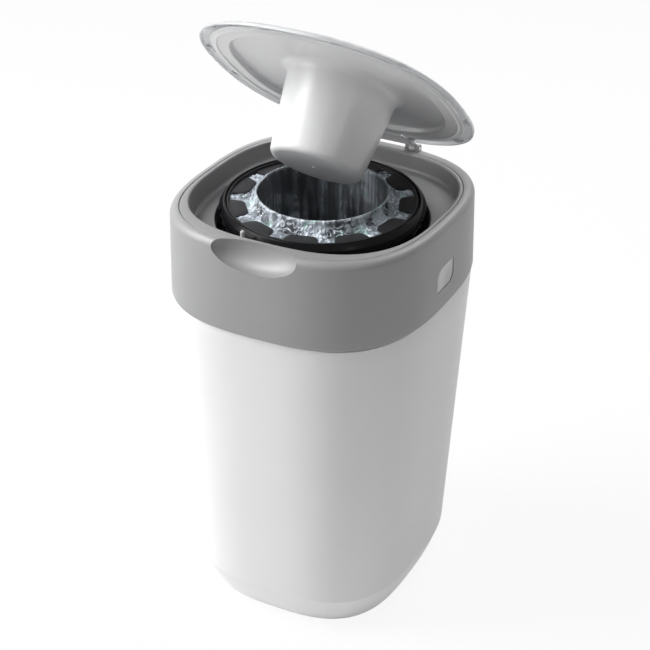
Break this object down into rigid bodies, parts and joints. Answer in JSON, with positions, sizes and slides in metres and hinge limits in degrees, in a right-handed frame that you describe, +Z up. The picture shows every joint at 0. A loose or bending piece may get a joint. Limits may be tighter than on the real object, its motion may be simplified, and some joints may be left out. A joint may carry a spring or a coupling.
{
  "type": "nappy bin",
  "caption": "Tapered nappy bin with a hinged head, a twisting film cassette, side release buttons and a lid with a plunger.",
  "frame": {"origin": "on the floor under the middle of the head", "axes": "+Z up, -Y towards the front with the thumb scoop, +X to the bin's own right as seen from the front"},
  "size_m": [0.249, 0.2728, 0.5806],
  "materials": {
    "tub_plastic": "satin moulded white plastic",
    "head_plastic": "satin moulded grey plastic",
    "button_plastic": "satin light grey plastic",
    "dark_plastic": "matt dark grey plastic",
    "black_plastic": "polished black plastic",
    "cassette_plastic": "matt near-black plastic",
    "film": "thin translucent bluish film",
    "gripper": "soft light grey rubber",
    "clear_cover": "clear frosted plastic",
    "liner_plastic": "smooth white plastic",
    "steel": "bright steel"
  },
  "bodies": {
    "tub": {"tub": "tub_plastic", "head_hinge_pins": "steel"},
    "head": {"head_shell": "head_plastic", "head_deck": "head_plastic", "head_hinge_bracket": "dark_plastic", "hinge_screws": "steel", "deck_screws": "steel", "gripper_ring": "gripper", "click_pawl": "button_plastic", "cutter_holder": "dark_plastic", "cutter_blade": "steel", "lid_hinge_brackets": "head_plastic", "lid_hinge_pins": "steel", "button_spring_left": "steel", "button_spring_right": "steel"},
    "button_left": {"side_button_left": "button_plastic"},
    "button_right": {"side_button_right": "button_plastic"},
    "turntable": {"turntable": "black_plastic", "turntable_retainer": "black_plastic", "cassette_tray": "cassette_plastic", "cassette_cover": "cassette_plastic", "film_pack": "film", "film": "film", "film_tail": "film"},
    "lid": {"lid_cover": "clear_cover", "lid_liner": "liner_plastic", "lid_hinge_arms": "liner_plastic", "lid_screws": "steel"}
  },
  "joints": [
    {"name": "head_hinge", "type": "hinge", "parent": "tub", "child": "head", "pos_m": [0, 0.133, 0.321], "axis": [-1, 0, 0], "range_deg": [0, 85]},
    {"name": "lid_hinge", "type": "hinge", "parent": "head", "child": "lid", "pos_m": [0, 0.127, 0.3986], "axis": [-1, 0, 0], "range_deg": [-40.9, 50]},
    {"name": "turntable_spin", "type": "hinge", "parent": "head", "child": "turntable", "pos_m": [0, -0.0038, 0.341], "axis": [0, 0, 1], "continuous": true},
    {"name": "button_right_push", "type": "slide", "parent": "head", "child": "button_right", "axis": [-1, 0, 0], "range_m": [0, 0.004], "stiffness_N_per_m": 600, "deforming": ["button_spring_right"]},
    {"name": "button_left_push", "type": "slide", "parent": "head", "child": "button_left", "axis": [1, 0, 0], "range_m": [0, 0.004], "stiffness_N_per_m": 600, "deforming": ["button_spring_left"]}
  ]
}
